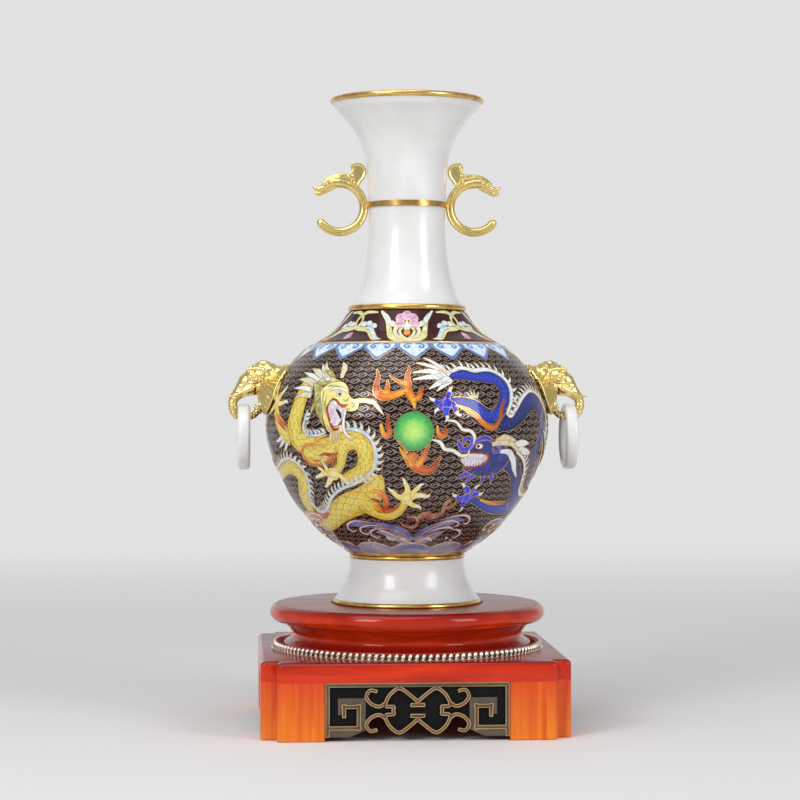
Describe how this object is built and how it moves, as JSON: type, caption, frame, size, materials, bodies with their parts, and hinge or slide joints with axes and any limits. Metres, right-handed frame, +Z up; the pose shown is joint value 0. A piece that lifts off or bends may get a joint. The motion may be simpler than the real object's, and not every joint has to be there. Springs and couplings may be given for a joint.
{
  "type": "enamelled vase on a turning stand",
  "caption": "Round-bodied cloisonne vase with a white stone neck and foot, gilt dragon handles, elephant heads with loose rings, and a square wooden stand with a turning plinth.",
  "frame": {"origin": "middle of the stand's underside, on the table", "axes": "+Z up through the vase's mouth; the front, with the pearl between the two dragons, faces -Y; the elephant heads face +X and -X"},
  "size_m": [0.2222, 0.181, 0.3805],
  "materials": {
    "leg_wood": "glossy orange-red lacquer, upright grain",
    "frame_wood": "glossy red lacquer",
    "plain_wood": "bare",
    "antique_brass": "antiqued, bright on the edges",
    "black_plate": "satin black",
    "gilt": "polished gilt",
    "steel": "plain",
    "bush_brass": "machined",
    "enamel_body": "polished enamel in wire cells over a metal shell",
    "white_stone": "polished, faintly translucent",
    "ring_stone": "polished, faintly translucent"
  },
  "bodies": {
    "stand": {"leg_front_left": "leg_wood", "leg_front_right": "leg_wood", "leg_back_left": "leg_wood", "leg_back_right": "leg_wood", "rail_front": "frame_wood", "rail_right": "frame_wood", "rail_back": "frame_wood", "rail_left": "frame_wood", "deck_board": "frame_wood", "dowels": "plain_wood", "fret_front": "antique_brass", "fret_right": "antique_brass", "fret_back": "antique_brass", "fret_left": "antique_brass", "backing_front": "black_plate", "backing_right": "black_plate", "backing_back": "black_plate", "backing_left": "black_plate", "bead_ring": "gilt", "race_lower": "steel", "race_lower_screws": "steel", "bearing_balls": "steel", "pivot_bolt": "steel", "pivot_nut": "steel"},
    "turntable": {"plinth": "frame_wood", "race_upper": "steel", "race_upper_screws": "steel", "bushing": "bush_brass"},
    "vase": {"foot_ring_lower": "gilt", "foot_stone": "white_stone", "foot_ring_upper": "gilt", "body_shell": "enamel_body", "shoulder_wire": "gilt", "collar_ring": "gilt", "neck_stone_lower": "white_stone", "neck_ring": "gilt", "neck_stone_upper": "white_stone", "rim_ring": "gilt", "tie_rod": "steel", "tie_nuts": "steel", "tie_washers": "steel", "dragon_handle_left": "gilt", "dragon_handle_right": "gilt", "elephant_head_left": "gilt", "elephant_head_right": "gilt", "head_nuts": "steel", "head_washers": "steel"},
    "ring_left": {"loose_ring_left": "ring_stone"},
    "ring_right": {"loose_ring_right": "ring_stone"}
  },
  "joints": [
    {"name": "plinth_turn", "type": "hinge", "parent": "stand", "child": "turntable", "pos_m": [0, 0, 0.0454], "axis": [0, 0, 1], "continuous": true},
    {"name": "vase_lift", "type": "slide", "parent": "turntable", "child": "vase", "axis": [0, 0, 1], "range_m": [0, 0.06]},
    {"name": "ring_left_swing", "type": "hinge", "parent": "vase", "child": "ring_left", "pos_m": [-0.0994, 0, 0.1862], "axis": [1, 0, 0], "range_deg": [-50, 50]},
    {"name": "ring_right_swing", "type": "hinge", "parent": "vase", "child": "ring_right", "pos_m": [0.0994, 0, 0.1862], "axis": [1, 0, 0], "range_deg": [-50, 50]}
  ]
}
